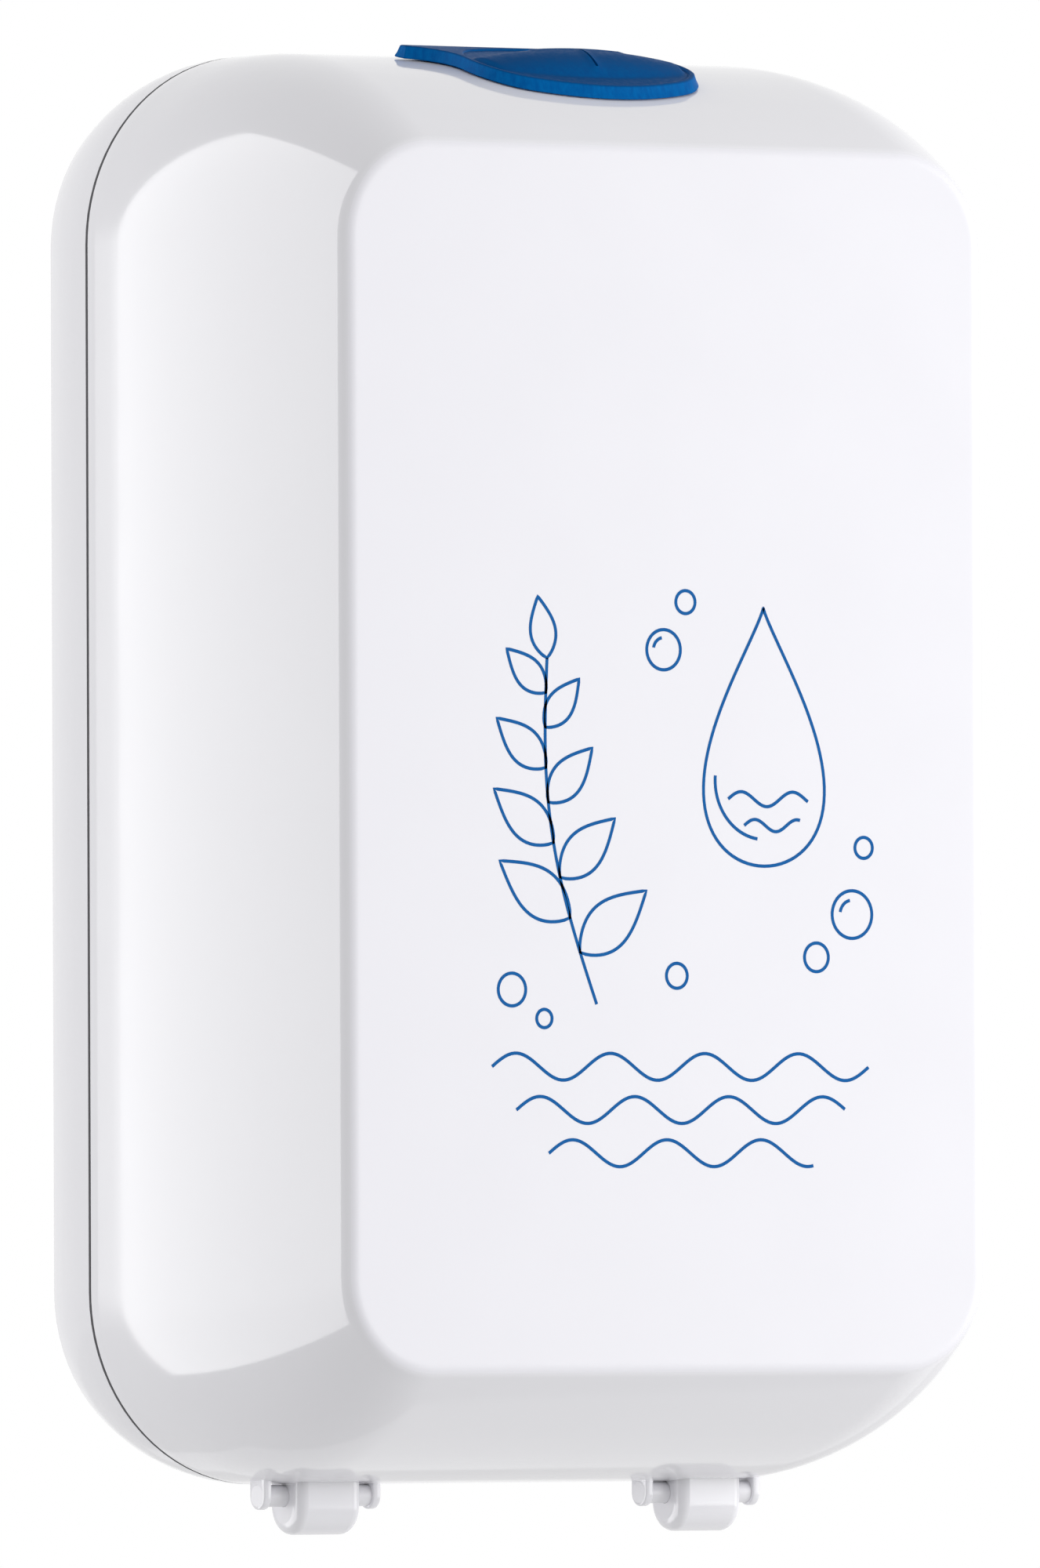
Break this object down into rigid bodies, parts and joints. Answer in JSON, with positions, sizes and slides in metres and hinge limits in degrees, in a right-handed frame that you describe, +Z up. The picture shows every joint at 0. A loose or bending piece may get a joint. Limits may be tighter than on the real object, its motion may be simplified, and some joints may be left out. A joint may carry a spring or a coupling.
{
  "type": "toilet seat wipe dispenser",
  "caption": "Wall-hung wipe dispenser: a rounded case whose deep front cover swings down on hinge pins, with a slit rubber outlet on top for pulling moist wipes off an inner roll.",
  "frame": {"origin": "middle of the case's back on the wall plane, at the centre of the wall screw pattern", "axes": "+Z up, the wall is the plane Y = 0 and the front faces -Y, +X is right as seen from the front"},
  "size_m": [0.188, 0.099, 0.3123],
  "materials": {
    "white_case": "glossy moulded white plastic, semi-matt on the front face",
    "blue_rubber": "satin blue moulded rubber",
    "hinge_pin": "plain moulded white",
    "lock_metal": "nickel-plated",
    "cam_steel": "zinc-plated pressing",
    "screw_steel": "zinc-plated",
    "tray_plastic": "matt moulded plastic",
    "wipe_fabric": "soft non-woven, moist"
  },
  "bodies": {
    "rear": {"rear_housing": "white_case", "refill_tray": "tray_plastic", "tray_screws": "screw_steel", "wipe_roll": "wipe_fabric", "lock_barrel": "lock_metal", "lock_nut": "lock_metal"},
    "cover": {"front_cover": "white_case", "outlet_membrane": "blue_rubber", "hinge_pin_left": "hinge_pin", "hinge_pin_right": "hinge_pin"},
    "lock": {"lock_plug": "lock_metal", "lock_cam": "cam_steel", "lock_cam_screw": "screw_steel"}
  },
  "joints": [
    {"name": "cover_hinge", "type": "hinge", "parent": "rear", "child": "cover", "pos_m": [0, -0.036, -0.1523], "axis": [1, 0, 0], "range_deg": [0, 110]},
    {"name": "lock_turn", "type": "hinge", "parent": "rear", "child": "lock", "pos_m": [0, -0.0125, 0.1327], "axis": [0, 0, -1], "range_deg": [0, 90]}
  ]
}
